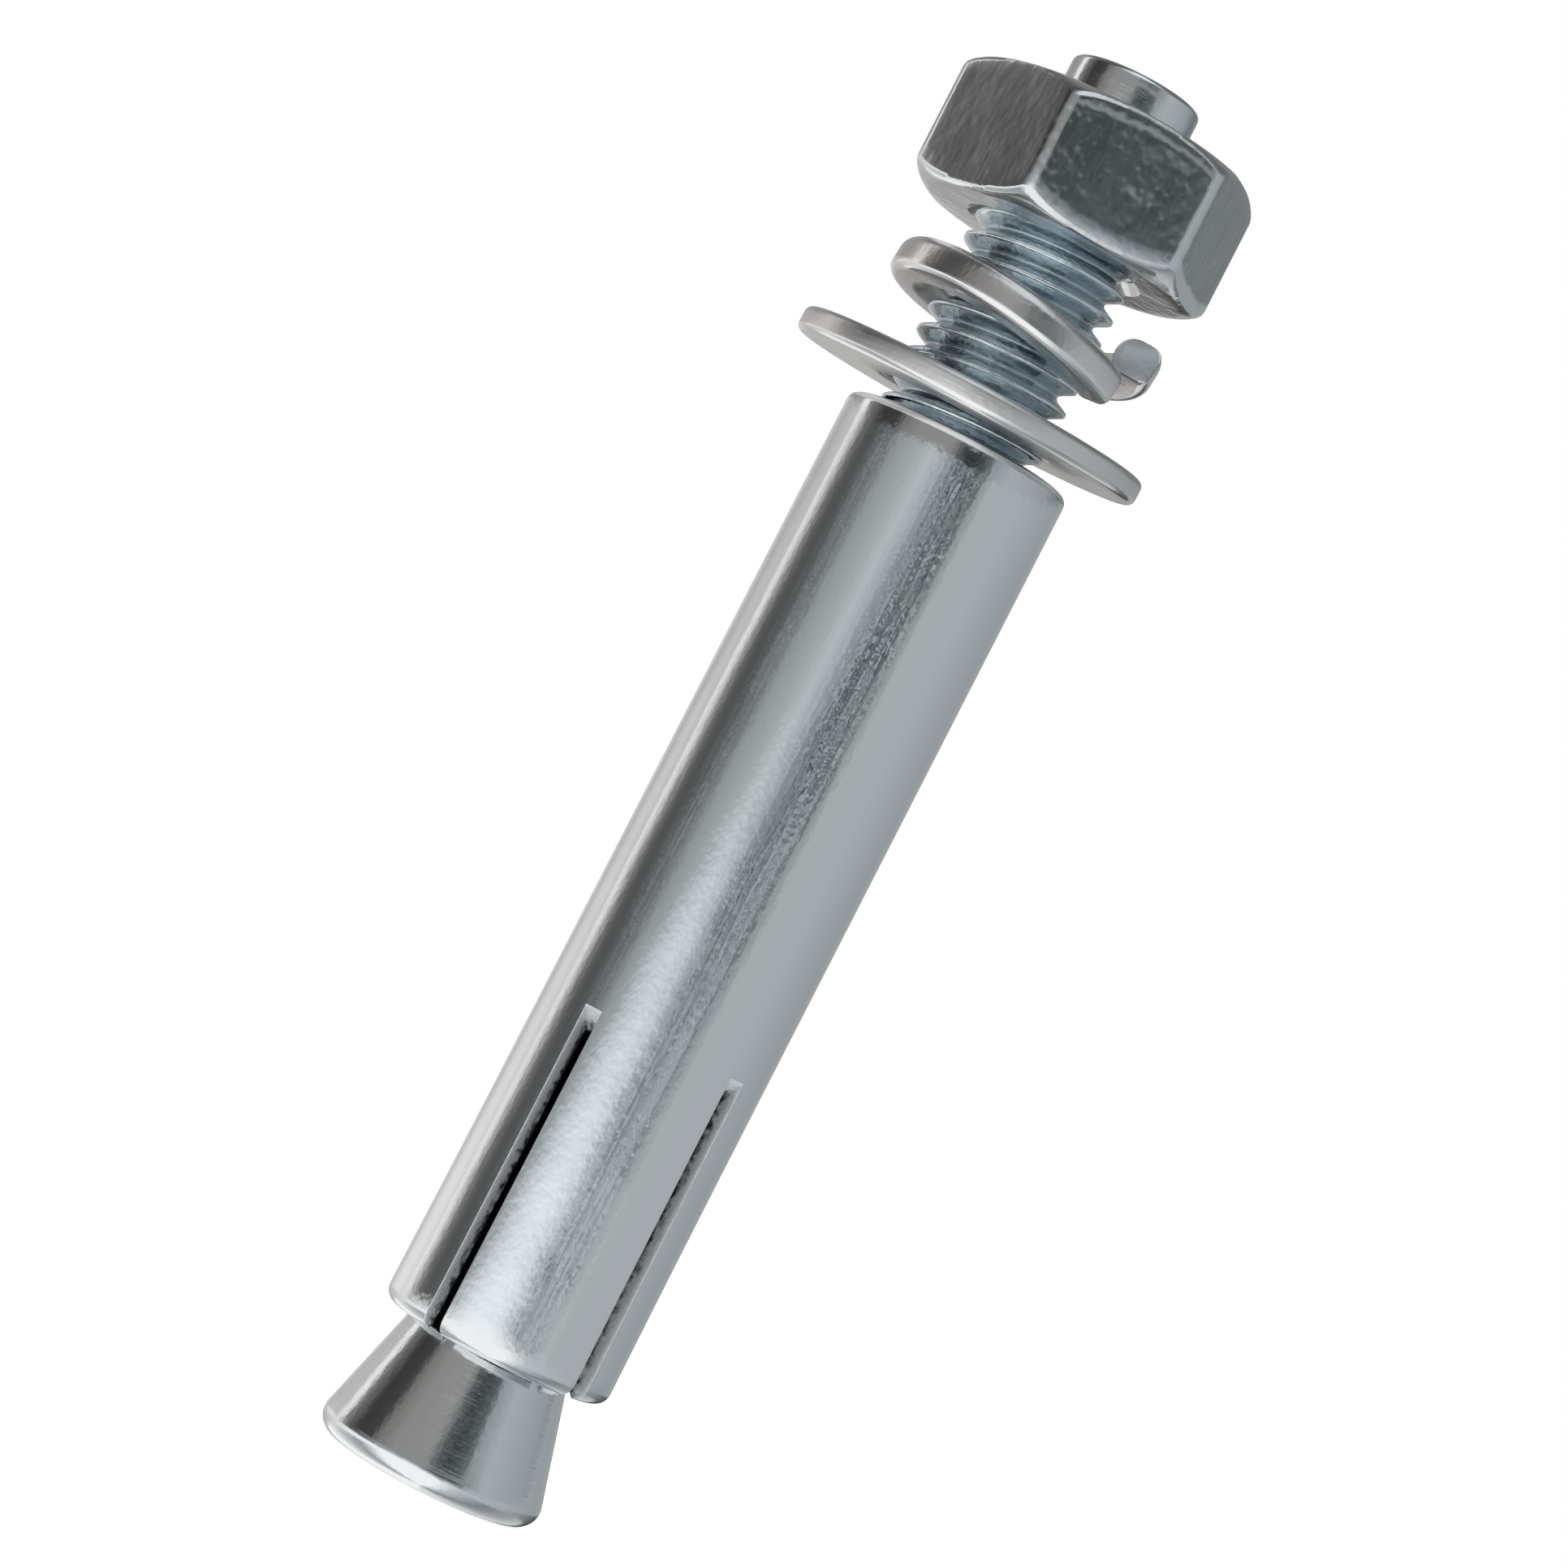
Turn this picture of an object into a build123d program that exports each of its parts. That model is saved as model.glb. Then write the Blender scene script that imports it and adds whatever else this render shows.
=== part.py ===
from build123d import *
from math import cos, radians, sqrt, tan
import os

# Sleeve anchor M10 x 90 for a 14 mm drilled hole, in millimetres.
# The bolt stands upright on the flat end of its cone: +Z runs up the bolt, the origin is the
# centre of that flat end, and -Y is the side that is looked at. A bearing is an angle round +Z
# in degrees, from -Y towards +X. Nod tips a washer's -Y side down, and lean its +X side.

# Bolt: an expander cone, a plain shank, a rolled M10 thread and a smooth stub above the nut
thread_diameter = 10.0
thread_length = 45.0
shank_step = 0.5
stub_step = 0.95
stub_length = 3.1
stub_edge_chamfer = 0.3
cone_half_angle = 15.5
cone_edge_radius = 1.2
cone_inset = 0.1

# Sleeve: a drawn tube, sawn into four legs at the cone end
sleeve_length = 58.5
sleeve_wall = 1.15
sleeve_play = 0.85
sleeve_offset = 0.3
sleeve_free_travel = 2.0
sleeve_top_chamfer = 0.55
sleeve_foot_radius = 0.85
sleeve_bore_chamfer = 0.25
slot_width = 1.15
slot_length = 20.2
first_slot_bearing = -33.0
slot_crossing_angle = 82.0
saw_radius = 14.0
saw_depth = 4.0

# Plain washer, hanging a little askew on the thread
washer_diameter = 22.0
washer_play = 0.5
washer_thickness = 1.5
washer_edge_chamfer = 0.35
washer_bore_chamfer = 0.15
washer_gap = 1.55
washer_nod = 3.5
washer_lean = 1.0
washer_offset = -0.2

# Spring lock washer: one open turn of bar with blunted edges, wound left-handed
spring_play = 0.55
spring_bar_width = 2.7
spring_bar_height = 2.35
spring_bar_bevel = 0.58
spring_rise = 3.0
spring_opening = 22.0
spring_low_end_bearing = 55.0
spring_gap = 2.15
spring_nod = -5.5
spring_lean = 5.0
spring_offset = 0.25

# Hexagon nut
nut_across_flats = 17.0
nut_height = 8.0
nut_gap = 2.0
nut_corner_bearing = -17.5
nut_corner_radius = 1.0
nut_chamfer_angle = 30.0
nut_face_share = 0.95
nut_thread_play = 0.05
nut_mouth_chamfer = 0.55
nut_below_tip = 2.72

# Radii that follow from the thread, from the inside out
thread_radius = thread_diameter / 2
shank_radius = thread_radius - shank_step
stub_radius = thread_radius - stub_step
sleeve_bore_radius = thread_radius + sleeve_play
sleeve_radius = sleeve_bore_radius + sleeve_wall
cone_radius = sleeve_radius - cone_inset

# The cone's straight side, run down to the end plane before its edge is rounded
cone_slope = tan(radians(cone_half_angle))
cone_corner_factor = 1 / tan(radians((90.0 - cone_half_angle) / 2)) - 1
cone_corner_radius = cone_radius + cone_edge_radius * cone_corner_factor

# Heights above the cone end, from the sleeve up to the bolt's tip
sleeve_touch_height = (cone_corner_radius - sleeve_bore_radius + sleeve_offset) / cone_slope
sleeve_foot = sleeve_touch_height + sleeve_free_travel
sleeve_top = sleeve_foot + sleeve_length
washer_middle = sleeve_top + washer_gap + washer_thickness / 2
spring_half_height = (spring_rise + spring_bar_height) / 2
spring_middle = washer_middle + washer_thickness / 2 + spring_gap + spring_half_height
nut_foot = spring_middle + spring_half_height + nut_gap
bolt_tip = nut_foot + nut_height + nut_below_tip


def bearing_to_angle(bearing):
    """Turn a bearing, counted from -Y, into an angle counted from +X."""
    return bearing - 90.0


def circles_of(solid, low, high):
    """The solid's round edges whose radius lies between two limits."""
    return solid.edges().filter_by(
        lambda edge: edge.geom_type == GeomType.CIRCLE and low < edge.radius < high
    )


def make_cone_bolt():
    """Half profile of the bolt, spun round its axis: cone, shank, thread body and stub."""
    cone_top = (cone_corner_radius - shank_radius) / cone_slope
    thread_top = bolt_tip - stub_length
    thread_foot = thread_top - thread_length
    half_profile = make_face(
        Polyline(
            (0, 0),
            (cone_corner_radius, 0),
            (shank_radius, cone_top),
            (shank_radius, thread_foot),
            (thread_radius, thread_foot + shank_step),
            (thread_radius, thread_top - stub_step),
            (stub_radius, thread_top),
            (stub_radius, bolt_tip),
            (0, bolt_tip),
            close=True,
        )
    )
    cone_corner = half_profile.vertices().sort_by_distance((cone_corner_radius, 0))[0]
    half_profile = fillet(cone_corner, radius=cone_edge_radius)
    stub_corner = half_profile.vertices().sort_by_distance((stub_radius, bolt_tip))[0]
    half_profile = chamfer(stub_corner, length=min(stub_edge_chamfer, 0.5 * stub_length))
    return revolve(Plane.XZ * half_profile, axis=Axis.Z)


def make_saw_cut(bearing):
    """Space swept by a slitting saw fed up the wall, so that each slot runs out in the saw's arc."""
    blade_out = sleeve_radius + saw_radius - saw_depth
    blade_up = slot_length - sqrt(saw_radius**2 - (saw_radius - saw_depth) ** 2)
    sweep_outline = SlotCenterToCenter(slot_length, 2 * saw_radius, rotation=90)
    sweep_middle = Pos(blade_out, blade_up - slot_length / 2)
    cut = extrude(Plane.XZ * sweep_middle * sweep_outline, amount=slot_width / 2, both=True)
    return Rot(0, 0, bearing_to_angle(bearing)) * cut


def make_expansion_sleeve():
    """Tube with a broken top edge and a rounded foot, sawn twice across its foot end."""
    ring = Circle(sleeve_radius) - Circle(sleeve_bore_radius)
    tube = extrude(ring, amount=sleeve_length)
    outer_edges = circles_of(tube, sleeve_bore_radius + 0.01, sleeve_radius + 0.01).sort_by(Axis.Z)
    tube = fillet(outer_edges[0], radius=min(sleeve_foot_radius, 0.75 * sleeve_wall))
    outer_edges = circles_of(tube, sleeve_radius - 0.01, sleeve_radius + 0.01).sort_by(Axis.Z)
    tube = chamfer(outer_edges[-1], length=min(sleeve_top_chamfer, 0.5 * sleeve_wall))
    bore_edges = circles_of(tube, 0, sleeve_bore_radius + 0.01)
    tube = chamfer(bore_edges, length=min(sleeve_bore_chamfer, 0.22 * sleeve_wall))
    for crossing in (0.0, slot_crossing_angle):
        for side in (0.0, 180.0):
            tube -= make_saw_cut(first_slot_bearing + crossing + side)
    return Pos(sleeve_offset, 0, sleeve_foot) * tube


def make_flat_washer():
    """Punched ring whose edges were broken by tumbling."""
    bore_radius = thread_radius + washer_play
    ring = Circle(washer_diameter / 2) - Circle(bore_radius)
    washer = extrude(ring, amount=washer_thickness / 2, both=True)
    outer_edges = circles_of(washer, bore_radius + 0.01, washer_diameter)
    washer = chamfer(outer_edges, length=min(washer_edge_chamfer, 0.45 * washer_thickness))
    bore_edges = circles_of(washer, 0, bore_radius + 0.01)
    washer = chamfer(bore_edges, length=min(washer_bore_chamfer, 0.45 * washer_thickness))
    return Pos(washer_offset, 0, washer_middle) * Rot(washer_nod, washer_lean, 0) * washer


def make_spring_washer():
    """Bevelled bar swept along one open left-hand turn, from its low cut end to its high one."""
    turn = 360.0 - spring_opening
    path = Helix(
        pitch=spring_rise * 360.0 / turn,
        height=spring_rise,
        radius=thread_radius + spring_play + spring_bar_width / 2,
        lefthand=True,
    )
    bar = Rectangle(spring_bar_width, spring_bar_height)
    bevel = min(spring_bar_bevel, 0.4 * spring_bar_height, 0.4 * spring_bar_width)
    bar = chamfer(bar.vertices(), length=bevel)
    cut_end = Plane(origin=path @ 0, x_dir=(1, 0, 0), z_dir=(0, 1, 0))
    coil = Pos(0, 0, -spring_rise / 2) * sweep(cut_end * bar, path=path, is_frenet=True)
    coil = Rot(0, 0, bearing_to_angle(spring_low_end_bearing)) * coil
    return Pos(spring_offset, 0, spring_middle) * Rot(spring_nod, spring_lean, 0) * coil


def make_hex_nut():
    """Hexagonal blank, chamfered by a cone at both ends and bored for the thread."""
    corner_reach = nut_across_flats / 2 / cos(radians(30.0))
    hexagon = RegularPolygon(corner_reach, 6, rotation=bearing_to_angle(nut_corner_bearing))
    hexagon = fillet(hexagon.vertices(), radius=nut_corner_radius)
    blank = extrude(hexagon, amount=nut_height)
    face_radius = nut_face_share * nut_across_flats / 2
    turned_drop = (corner_reach - face_radius) * tan(radians(nut_chamfer_angle))
    turned_profile = Polyline(
        (0, 0),
        (face_radius, 0),
        (corner_reach, turned_drop),
        (corner_reach, nut_height - turned_drop),
        (face_radius, nut_height),
        (0, nut_height),
        close=True,
    )
    blank = blank & revolve(Plane.XZ * make_face(turned_profile), axis=Axis.Z)
    bore_radius = thread_radius + nut_thread_play
    mouth_radius = bore_radius + nut_mouth_chamfer
    bore_profile = Polyline(
        (0, 0),
        (mouth_radius, 0),
        (bore_radius, nut_mouth_chamfer),
        (bore_radius, nut_height - nut_mouth_chamfer),
        (mouth_radius, nut_height),
        (0, nut_height),
        close=True,
    )
    nut = blank - revolve(Plane.XZ * make_face(bore_profile), axis=Axis.Z)
    return Pos(0, 0, nut_foot) * nut


pieces = {
    "cone_bolt": make_cone_bolt(),
    "expansion_sleeve": make_expansion_sleeve(),
    "flat_washer": make_flat_washer(),
    "spring_washer": make_spring_washer(),
    "hex_nut": make_hex_nut(),
}

os.makedirs("parts", exist_ok=True)
for name, piece in pieces.items():
    export_step(piece, f"parts/{name}.step")
    size = piece.bounding_box().size
    print(f"{name}: {piece.volume:.1f} mm3, {size.X:.2f} x {size.Y:.2f} x {size.Z:.2f} mm")
print(f"sleeve {sleeve_foot:.3f} to {sleeve_top:.3f} mm, radius {sleeve_radius:.3f} mm")
print(f"nut {nut_foot:.3f} to {nut_foot + nut_height:.3f} mm, bolt tip {bolt_tip:.3f} mm")
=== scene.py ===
# %% [markdown]
# # Sleeve anchor in bright zinc
# The object is a steel fastener: a cone-ended bolt inside a slotted tube, with a plain washer, a spring
# washer and a nut. Every part is one metal with one coat, so the picture lives on three things:
# true rounded edges, the small relief that forming leaves in steel, and what the metal mirrors.
# Sizes are written in millimetres and turned into Blender's metres at one place. Heights come from
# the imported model, so each mesh here stands exactly where its solid stands.

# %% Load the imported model
from math import asin, atan, ceil, cos, degrees, radians, sin, sqrt, tan

import bmesh
import bpy
from mathutils import Matrix, Vector, noise


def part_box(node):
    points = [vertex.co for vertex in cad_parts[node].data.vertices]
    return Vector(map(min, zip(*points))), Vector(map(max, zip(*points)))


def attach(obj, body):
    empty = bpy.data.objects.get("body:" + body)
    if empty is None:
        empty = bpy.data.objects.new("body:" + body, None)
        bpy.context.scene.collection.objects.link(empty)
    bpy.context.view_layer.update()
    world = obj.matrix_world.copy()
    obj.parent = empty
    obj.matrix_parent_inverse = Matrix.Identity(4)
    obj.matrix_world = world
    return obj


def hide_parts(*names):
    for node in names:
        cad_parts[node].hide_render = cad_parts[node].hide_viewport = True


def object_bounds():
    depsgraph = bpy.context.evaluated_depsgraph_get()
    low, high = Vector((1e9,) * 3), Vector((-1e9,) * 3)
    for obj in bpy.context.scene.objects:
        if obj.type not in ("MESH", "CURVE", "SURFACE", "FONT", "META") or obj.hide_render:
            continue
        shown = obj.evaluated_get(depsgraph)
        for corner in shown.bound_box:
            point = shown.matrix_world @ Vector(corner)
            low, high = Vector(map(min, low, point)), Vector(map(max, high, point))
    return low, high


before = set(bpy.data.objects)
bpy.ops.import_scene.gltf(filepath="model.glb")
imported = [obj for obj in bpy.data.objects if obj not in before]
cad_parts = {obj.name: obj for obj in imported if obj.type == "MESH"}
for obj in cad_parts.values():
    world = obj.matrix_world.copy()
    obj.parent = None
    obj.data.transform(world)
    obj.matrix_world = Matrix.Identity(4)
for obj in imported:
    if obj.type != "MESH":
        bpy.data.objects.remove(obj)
cad_low, cad_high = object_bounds()
MM = 0.001


def height_range(node):
    """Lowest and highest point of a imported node, in millimetres."""
    low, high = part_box(node)
    return low[2] / MM, high[2] / MM


bolt_tip = height_range("cone_bolt")[1]
sleeve_foot, sleeve_top = height_range("expansion_sleeve")
nut_foot, nut_head = height_range("hex_nut")
print(f"bolt tip {bolt_tip:.2f}, sleeve {sleeve_foot:.2f} to {sleeve_top:.2f}, nut from {nut_foot:.2f} mm")

# %% [markdown]
# ## From columns of points to a closed skin
# Every part here is round or nearly so, so one tool makes them all. A part is a fan of columns: each
# column is the same list of points, worked out at another angle, and neighbouring columns are joined
# by quads. The last column falls on the first one, and merging close points then closes the seam.
# A Screw or Spin modifier could turn plain profiles, but not a thread that fades out or a nut whose
# chamfer meets flat sides, and this way the points lie exactly where the form needs an edge.

# %% The skin tool
MERGE_DISTANCE = 2e-7
SHARP_ANGLE = 38.0


def skin(name, columns, closed_rows=False, extra_faces=(), skip=None, second_rows=()):
    """Mesh between neighbouring columns of points in millimetres, merged where points coincide.

    The faces of second_rows, and the extra faces, wear the piece's second material.
    """
    shape = bmesh.new()
    grid = [[shape.verts.new(Vector(point) * MM) for point in column] for column in columns]
    rows = len(columns[0])
    for column in range(len(columns) - 1):
        for row in range(rows if closed_rows else rows - 1):
            if skip and skip(column, row):
                continue
            here, there = grid[column], grid[column + 1]
            after = (row + 1) % rows
            face = shape.faces.new((here[row], there[row], there[after], here[after]))
            face.material_index = int(row in second_rows)
    for corners in extra_faces:
        shape.faces.new([grid[column][row] for column, row in corners]).material_index = 1
    bmesh.ops.remove_doubles(shape, verts=shape.verts, dist=MERGE_DISTANCE)
    bmesh.ops.dissolve_degenerate(shape, edges=shape.edges, dist=MERGE_DISTANCE)
    bmesh.ops.recalc_face_normals(shape, faces=shape.faces)
    mesh = bpy.data.meshes.new(name)
    shape.to_mesh(mesh)
    shape.free()
    mesh.shade_smooth()
    mesh.set_sharp_from_angle(angle=radians(SHARP_ANGLE))
    return mesh


# %% [markdown]
# ## A piece for each solid
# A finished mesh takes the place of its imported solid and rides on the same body, so it moves with the
# joints. A skin that has holes would look right in a picture and fail as a model, so each piece
# counts the edges that don't lie between two faces, and that count has to be 0.

# %% Placing and measuring a piece
def open_edges(mesh):
    """Number of edges that don't lie between exactly two faces."""
    uses = {}
    for polygon in mesh.polygons:
        for key in polygon.edge_keys:
            uses[key] = uses.get(key, 0) + 1
    return sum(1 for count in uses.values() if count != 2)


def place(mesh, body, node, material):
    """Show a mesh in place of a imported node, riding on its body and wearing its finish."""
    piece = bpy.data.objects.new(mesh.name, mesh)
    bpy.context.scene.collection.objects.link(piece)
    mesh.materials.append(material)
    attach(piece, body)
    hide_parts(node)
    print(f"{mesh.name}: {len(mesh.polygons)} faces, {open_edges(mesh)} open edges")
    return piece


# %% [markdown]
# ## Points on round things
# A half section is a list of (radius, height), and an angle turns it into a column. Round edges are
# arcs of a few points, so that light slides over them as it does over a real broken edge.

# %% Points round the axis and along an edge
def around(radius, angle, height):
    """Point at a radius and an angle in degrees from +X, round the bolt's axis."""
    return (radius * cos(radians(angle)), radius * sin(radians(angle)), height)


def arc(centre_r, centre_z, radius, start, stop, steps):
    """Points (radius, height) along a round edge in a part's half section, angles in degrees."""
    sweep = [radians(start + (stop - start) * i / steps) for i in range(steps + 1)]
    return [(centre_r + radius * cos(a), centre_z + radius * sin(a)) for a in sweep]


def spread(start, stop, steps):
    """Evenly spaced values from start to stop, both included."""
    return [start + (stop - start) * i / steps for i in range(steps + 1)]


# %% [markdown]
# ## Colours and nodes
# Colour codes are written as a screen shows them. Blender mixes light in linear values, so one
# function converts each code, by the sRGB formula. A second one adds any node with its settings and
# its links in one call, which keeps a material readable from top to bottom.

# %% Screen colour to linear colour, and a node in one call
def linear(code):
    """Turn an sRGB hex code into linear red, green, blue and alpha."""
    parts = [int(code[i:i + 2], 16) / 255 for i in (1, 3, 5)]
    return [p / 12.92 if p <= 0.04045 else ((p + 0.055) / 1.055) ** 2.4 for p in parts] + [1.0]


def add_node(tree, kind, inputs=None, stops=None, **settings):
    """Add a shader node, set its properties, and fill its inputs with values or with links."""
    node = tree.nodes.new(kind)
    for key, value in settings.items():
        setattr(node, key, value)
    for key, value in (inputs or {}).items():
        if isinstance(value, bpy.types.NodeSocket):
            tree.links.new(value, node.inputs[key])
        else:
            node.inputs[key].default_value = value
    if stops:
        elements = node.color_ramp.elements
        while len(elements) > 1:
            elements.remove(elements[-1])
        elements[0].position = stops[0][0]
        elements[0].color = stops[0][1]
        for position, colour in stops[1:]:
            elements.new(position).color = colour
    return node


def new_material(name):
    """Empty material with its node tree."""
    material = bpy.data.materials.new(name)
    material.use_nodes = True
    material.node_tree.nodes.clear()
    return material, material.node_tree


# %% [markdown]
# ## Where a point lies on the part
# Patterns here are tied to the part itself: to a point's place in millimetres, or to its distance from
# the axis. UV maps would do too, but five parts would need five of them, each with a seam, and a
# pattern that lies in space has none.

# %% Place and distance from the axis, as shader nodes
def place_in_mm(tree):
    """A surface point's own coordinates in millimetres."""
    on_part = add_node(tree, "ShaderNodeTexCoord")
    return add_node(tree, "ShaderNodeVectorMath", {0: on_part.outputs["Object"], "Scale": 1 / MM},
                    operation="SCALE").outputs["Vector"]


def from_axis(tree, in_mm, axis_x=0.0):
    """Distance in millimetres from an upright axis."""
    centred = add_node(tree, "ShaderNodeVectorMath", {0: in_mm, 1: (axis_x, 0.0, 0.0)}, operation="SUBTRACT")
    flat = add_node(tree, "ShaderNodeVectorMath", {0: centred.outputs["Vector"], 1: (1.0, 1.0, 0.0)},
                    operation="MULTIPLY")
    return add_node(tree, "ShaderNodeVectorMath", {0: flat.outputs["Vector"]},
                    operation="LENGTH").outputs["Value"]


# %% [markdown]
# ## The lines that working leaves
# Steel keeps the marks of how it was made: a drawn tube has lines along it, and what was turned,
# punched or coiled has lines round it. Both are one noise, squeezed across the lines and stretched
# along them. For lines that run round, the noise is laid over distance and turn instead of X and Y.
# Real drawing lines are two or three hundredths of a millimetre wide, and the grain of pickled steel
# is little wider. A picture of the whole anchor has about 11 pixels to a millimetre, so lines and
# grain are drawn about ten times as coarse here. Finer ones would be lost between the pixels.

# %% Lines along a part or round it
LINE_LENGTH = 50.0  # in widths of the line, on a part with lines along it
LINE_PIECES = 2.2  # for each radian, on a part with lines round it


def worked_lines(tree, in_mm, lay, line_width):
    """Coordinates in which the worked lines are as wide as they are long."""
    if lay == "along":
        squeeze = (1 / line_width, 1 / line_width, 1 / (LINE_LENGTH * line_width))
        at = in_mm
    else:
        axes = add_node(tree, "ShaderNodeSeparateXYZ", {0: in_mm})
        front = add_node(tree, "ShaderNodeMath", {0: axes.outputs["Y"], 1: -1.0}, operation="MULTIPLY")
        turn = add_node(tree, "ShaderNodeMath", {0: axes.outputs["X"], 1: front.outputs[0]},
                        operation="ARCTAN2")
        at = add_node(tree, "ShaderNodeCombineXYZ",
                      {0: from_axis(tree, in_mm), 1: turn.outputs[0], 2: axes.outputs["Z"]}).outputs[0]
        squeeze = (1 / line_width, LINE_PIECES, 1 / line_width)
    return add_node(tree, "ShaderNodeVectorMath", {0: at, 1: squeeze}, operation="MULTIPLY").outputs["Vector"]


# %% [markdown]
# ## Bright zinc on formed steel
# Zinc plating is a thin bluish white metal coat that follows the steel below it. It neither hides nor
# levels: drawing lines, rolling marks and the fine orange-peel of pickled steel all show through as
# relief. So the colour is nearly flat and the relief does the work. Three layers of bump are
# stacked: slow waviness that makes mirrored edges wander, the worked lines, and a fine pebble grain
# that breaks dark reflections into flecks. Faint duller patches are where hands and other parts
# rubbed it. A painted texture of flecks would be simpler, but flecks that are paint stay put when
# the part is turned, and flecks that are relief sparkle.

# %% The plated steel material
WAVE_WIDTH = 6.25
PATCH_WIDTH = 2.857
GRAIN_SLENDER = 0.7  # pebbles are a little longer along the part than they are wide
NOISE_LOW = 0.3
NOISE_HIGH = 0.7
GLOSSIEST = 0.8
DULLEST = 1.25


def plated_steel(name, colour, lay, line_width, line_depth, grain, grain_depth, waviness, roughness):
    """Zinc plated steel. Lengths are in millimetres. Lay is the direction of the worked lines."""
    material, tree = new_material(name)
    in_mm = place_in_mm(tree)
    waves = add_node(tree, "ShaderNodeTexNoise", {"Vector": in_mm, "Scale": 1 / WAVE_WIDTH, "Detail": 1.0})
    lines_at = worked_lines(tree, in_mm, lay, line_width)
    lines = add_node(tree, "ShaderNodeTexNoise", {"Vector": lines_at, "Scale": 1.0, "Detail": 3.0})
    slender = add_node(tree, "ShaderNodeVectorMath", {0: in_mm, 1: (1.0, 1.0, GRAIN_SLENDER)},
                       operation="MULTIPLY")
    pebbles = add_node(tree, "ShaderNodeTexNoise",
                       {"Vector": slender.outputs["Vector"], "Scale": 1 / grain, "Detail": 1.0})
    relief = {}
    for height, depth in ((waves, waviness), (lines, line_depth), (pebbles, grain_depth)):
        layer = add_node(tree, "ShaderNodeBump",
                         {"Height": height.outputs["Fac"], "Distance": depth * MM, "Strength": 1.0, **relief})
        relief = {"Normal": layer.outputs[0]}
    patches = add_node(tree, "ShaderNodeTexNoise", {"Vector": in_mm, "Scale": 1 / PATCH_WIDTH, "Detail": 3.0})
    dull = add_node(tree, "ShaderNodeMapRange",
                    {"Value": patches.outputs["Fac"], "From Min": NOISE_LOW, "From Max": NOISE_HIGH,
                     "To Min": roughness * GLOSSIEST, "To Max": roughness * DULLEST})
    surface = add_node(tree, "ShaderNodeBsdfPrincipled",
                       {"Base Color": linear(colour), "Metallic": 1.0, "Roughness": dull.outputs[0],
                        **relief})
    add_node(tree, "ShaderNodeOutputMaterial", {"Surface": surface.outputs[0]})
    print(f"{name}: lines {line_width} mm wide {lay} the part, grain of {grain} mm")
    return material


# %% [markdown]
# ## Finishes of the bolt
# The cone, shank and stub are turned: smooth, with fine rings, so they mirror the room in clean
# bands. The thread is rolled, and its flanks are rougher than a turned face. Its roots are painted
# darker than its crests: painted shade, over and above the shade that the ridges give. That colour
# follows the distance from the bolt's axis, which every turn of the thread shares. One finish for
# the whole bolt would make the thread look moulded.

# %% Turned and rolled zinc
# The eye gets crisp mirrored bands with a faint ring pattern
turned_bolt = plated_steel("turned_cone_zinc", "#eef1f2", lay="round", line_width=0.12, line_depth=0.005,
                           grain=0.34, grain_depth=0.008, waviness=0.05, roughness=0.10)
# The eye gets bluish ridges, bright at the crest and broken along the flanks
CREST_COLOUR = "#e2ecf1"
rolled_thread = plated_steel("rolled_thread_zinc", CREST_COLOUR, lay="round", line_width=0.12,
                             line_depth=0.014, grain=0.40, grain_depth=0.045, waviness=0.06,
                             roughness=0.17)
# Painted shade for the thread's roots, mixed in by distance from the axis
ROOT_COLOUR = "#b6c3ca"
ROOT_RADIUS = 4.2
CREST_RADIUS = 4.85


def darken_roots(material):
    """Paint shade into the thread's roots: mix its colour from the darker root colour to the crest colour."""
    tree = material.node_tree
    share = add_node(tree, "ShaderNodeMapRange",
                     {"Value": from_axis(tree, place_in_mm(tree)), "From Min": ROOT_RADIUS,
                      "From Max": CREST_RADIUS})
    colour = add_node(tree, "ShaderNodeMix",
                      {"Factor": share.outputs[0], "A": linear(ROOT_COLOUR), "B": linear(CREST_COLOUR)},
                      data_type="RGBA")
    tree.links.new(colour.outputs[2], tree.nodes["Principled BSDF"].inputs["Base Color"])


darken_roots(rolled_thread)
print(f"thread darkens inwards from {CREST_RADIUS} to {ROOT_RADIUS} mm off the axis")

# %% [markdown]
# ## The cone bolt with its rolled thread
# The real bolt is headed and turned at the cone, and its thread is rolled, not cut: the dies push
# steel out of the grooves into the crests, so the plain shank is as thick as the thread's pitch line,
# crests come out a little uneven and the last turns fade into the shank.
# A spiral of separate loops would leave the run-out open. Here the rows of the skin climb with the
# thread, one pitch per turn, so each crest is one clean line of points all the way round, and the
# last column meets the first exactly one pitch higher.

# %% The rows of a thread
THREAD_PITCH = 1.5
# Half of one thread ridge: share of the pitch from the crest, and share of the depth
RIDGE = ((0.0, 0.0), (0.055, 0.005), (0.09, 0.05), (0.14, 0.19), (0.20, 0.38), (0.26, 0.57),
         (0.33, 0.78), (0.39, 0.91), (0.45, 0.98), (0.5, 1.0))
# One crest passes the right-hand outline at this height, where the photograph shows it
CREST_BEARING = 90.0
CREST_HEIGHT = 77.75


def ridge_rows():
    """One whole pitch of the thread from root to root, as (share of pitch, share of depth)."""
    rising = [(0.5 - share, depth) for share, depth in reversed(RIDGE)]
    falling = [(0.5 + share, depth) for share, depth in RIDGE[1:-1]]
    return rising + falling


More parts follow.
